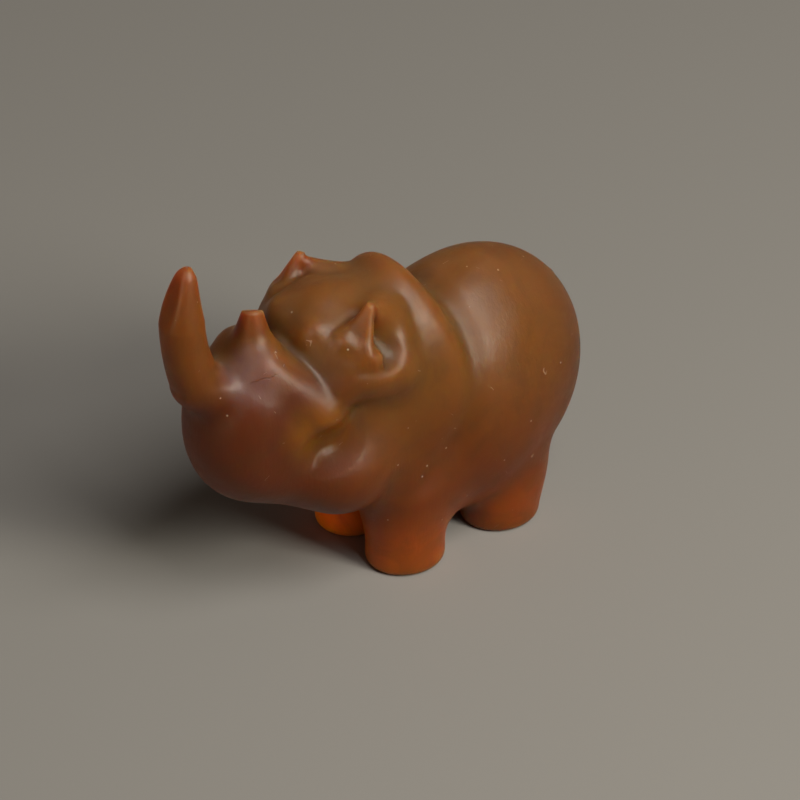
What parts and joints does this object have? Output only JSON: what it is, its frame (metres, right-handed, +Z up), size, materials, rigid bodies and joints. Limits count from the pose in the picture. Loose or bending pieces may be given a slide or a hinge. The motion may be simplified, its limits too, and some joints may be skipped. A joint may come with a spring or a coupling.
{
  "type": "rhinoceros figurine",
  "caption": "Small rhinoceros figurine carved whole from orange-brown carnelian, with a raised head, an upswept front horn, a broken rear horn and short stout legs",
  "frame": {"origin": "middle of the underside, on the ground between the front and hind feet", "axes": "+X is the rhinoceros's left, +Y points from its head to its rump, +Z is up"},
  "size_m": [0.0192, 0.0478, 0.0399],
  "materials": {
    "carnelian": "satin"
  },
  "bodies": {
    "root": {"rhinoceros": "carnelian"}
  },
  "joints": []
}
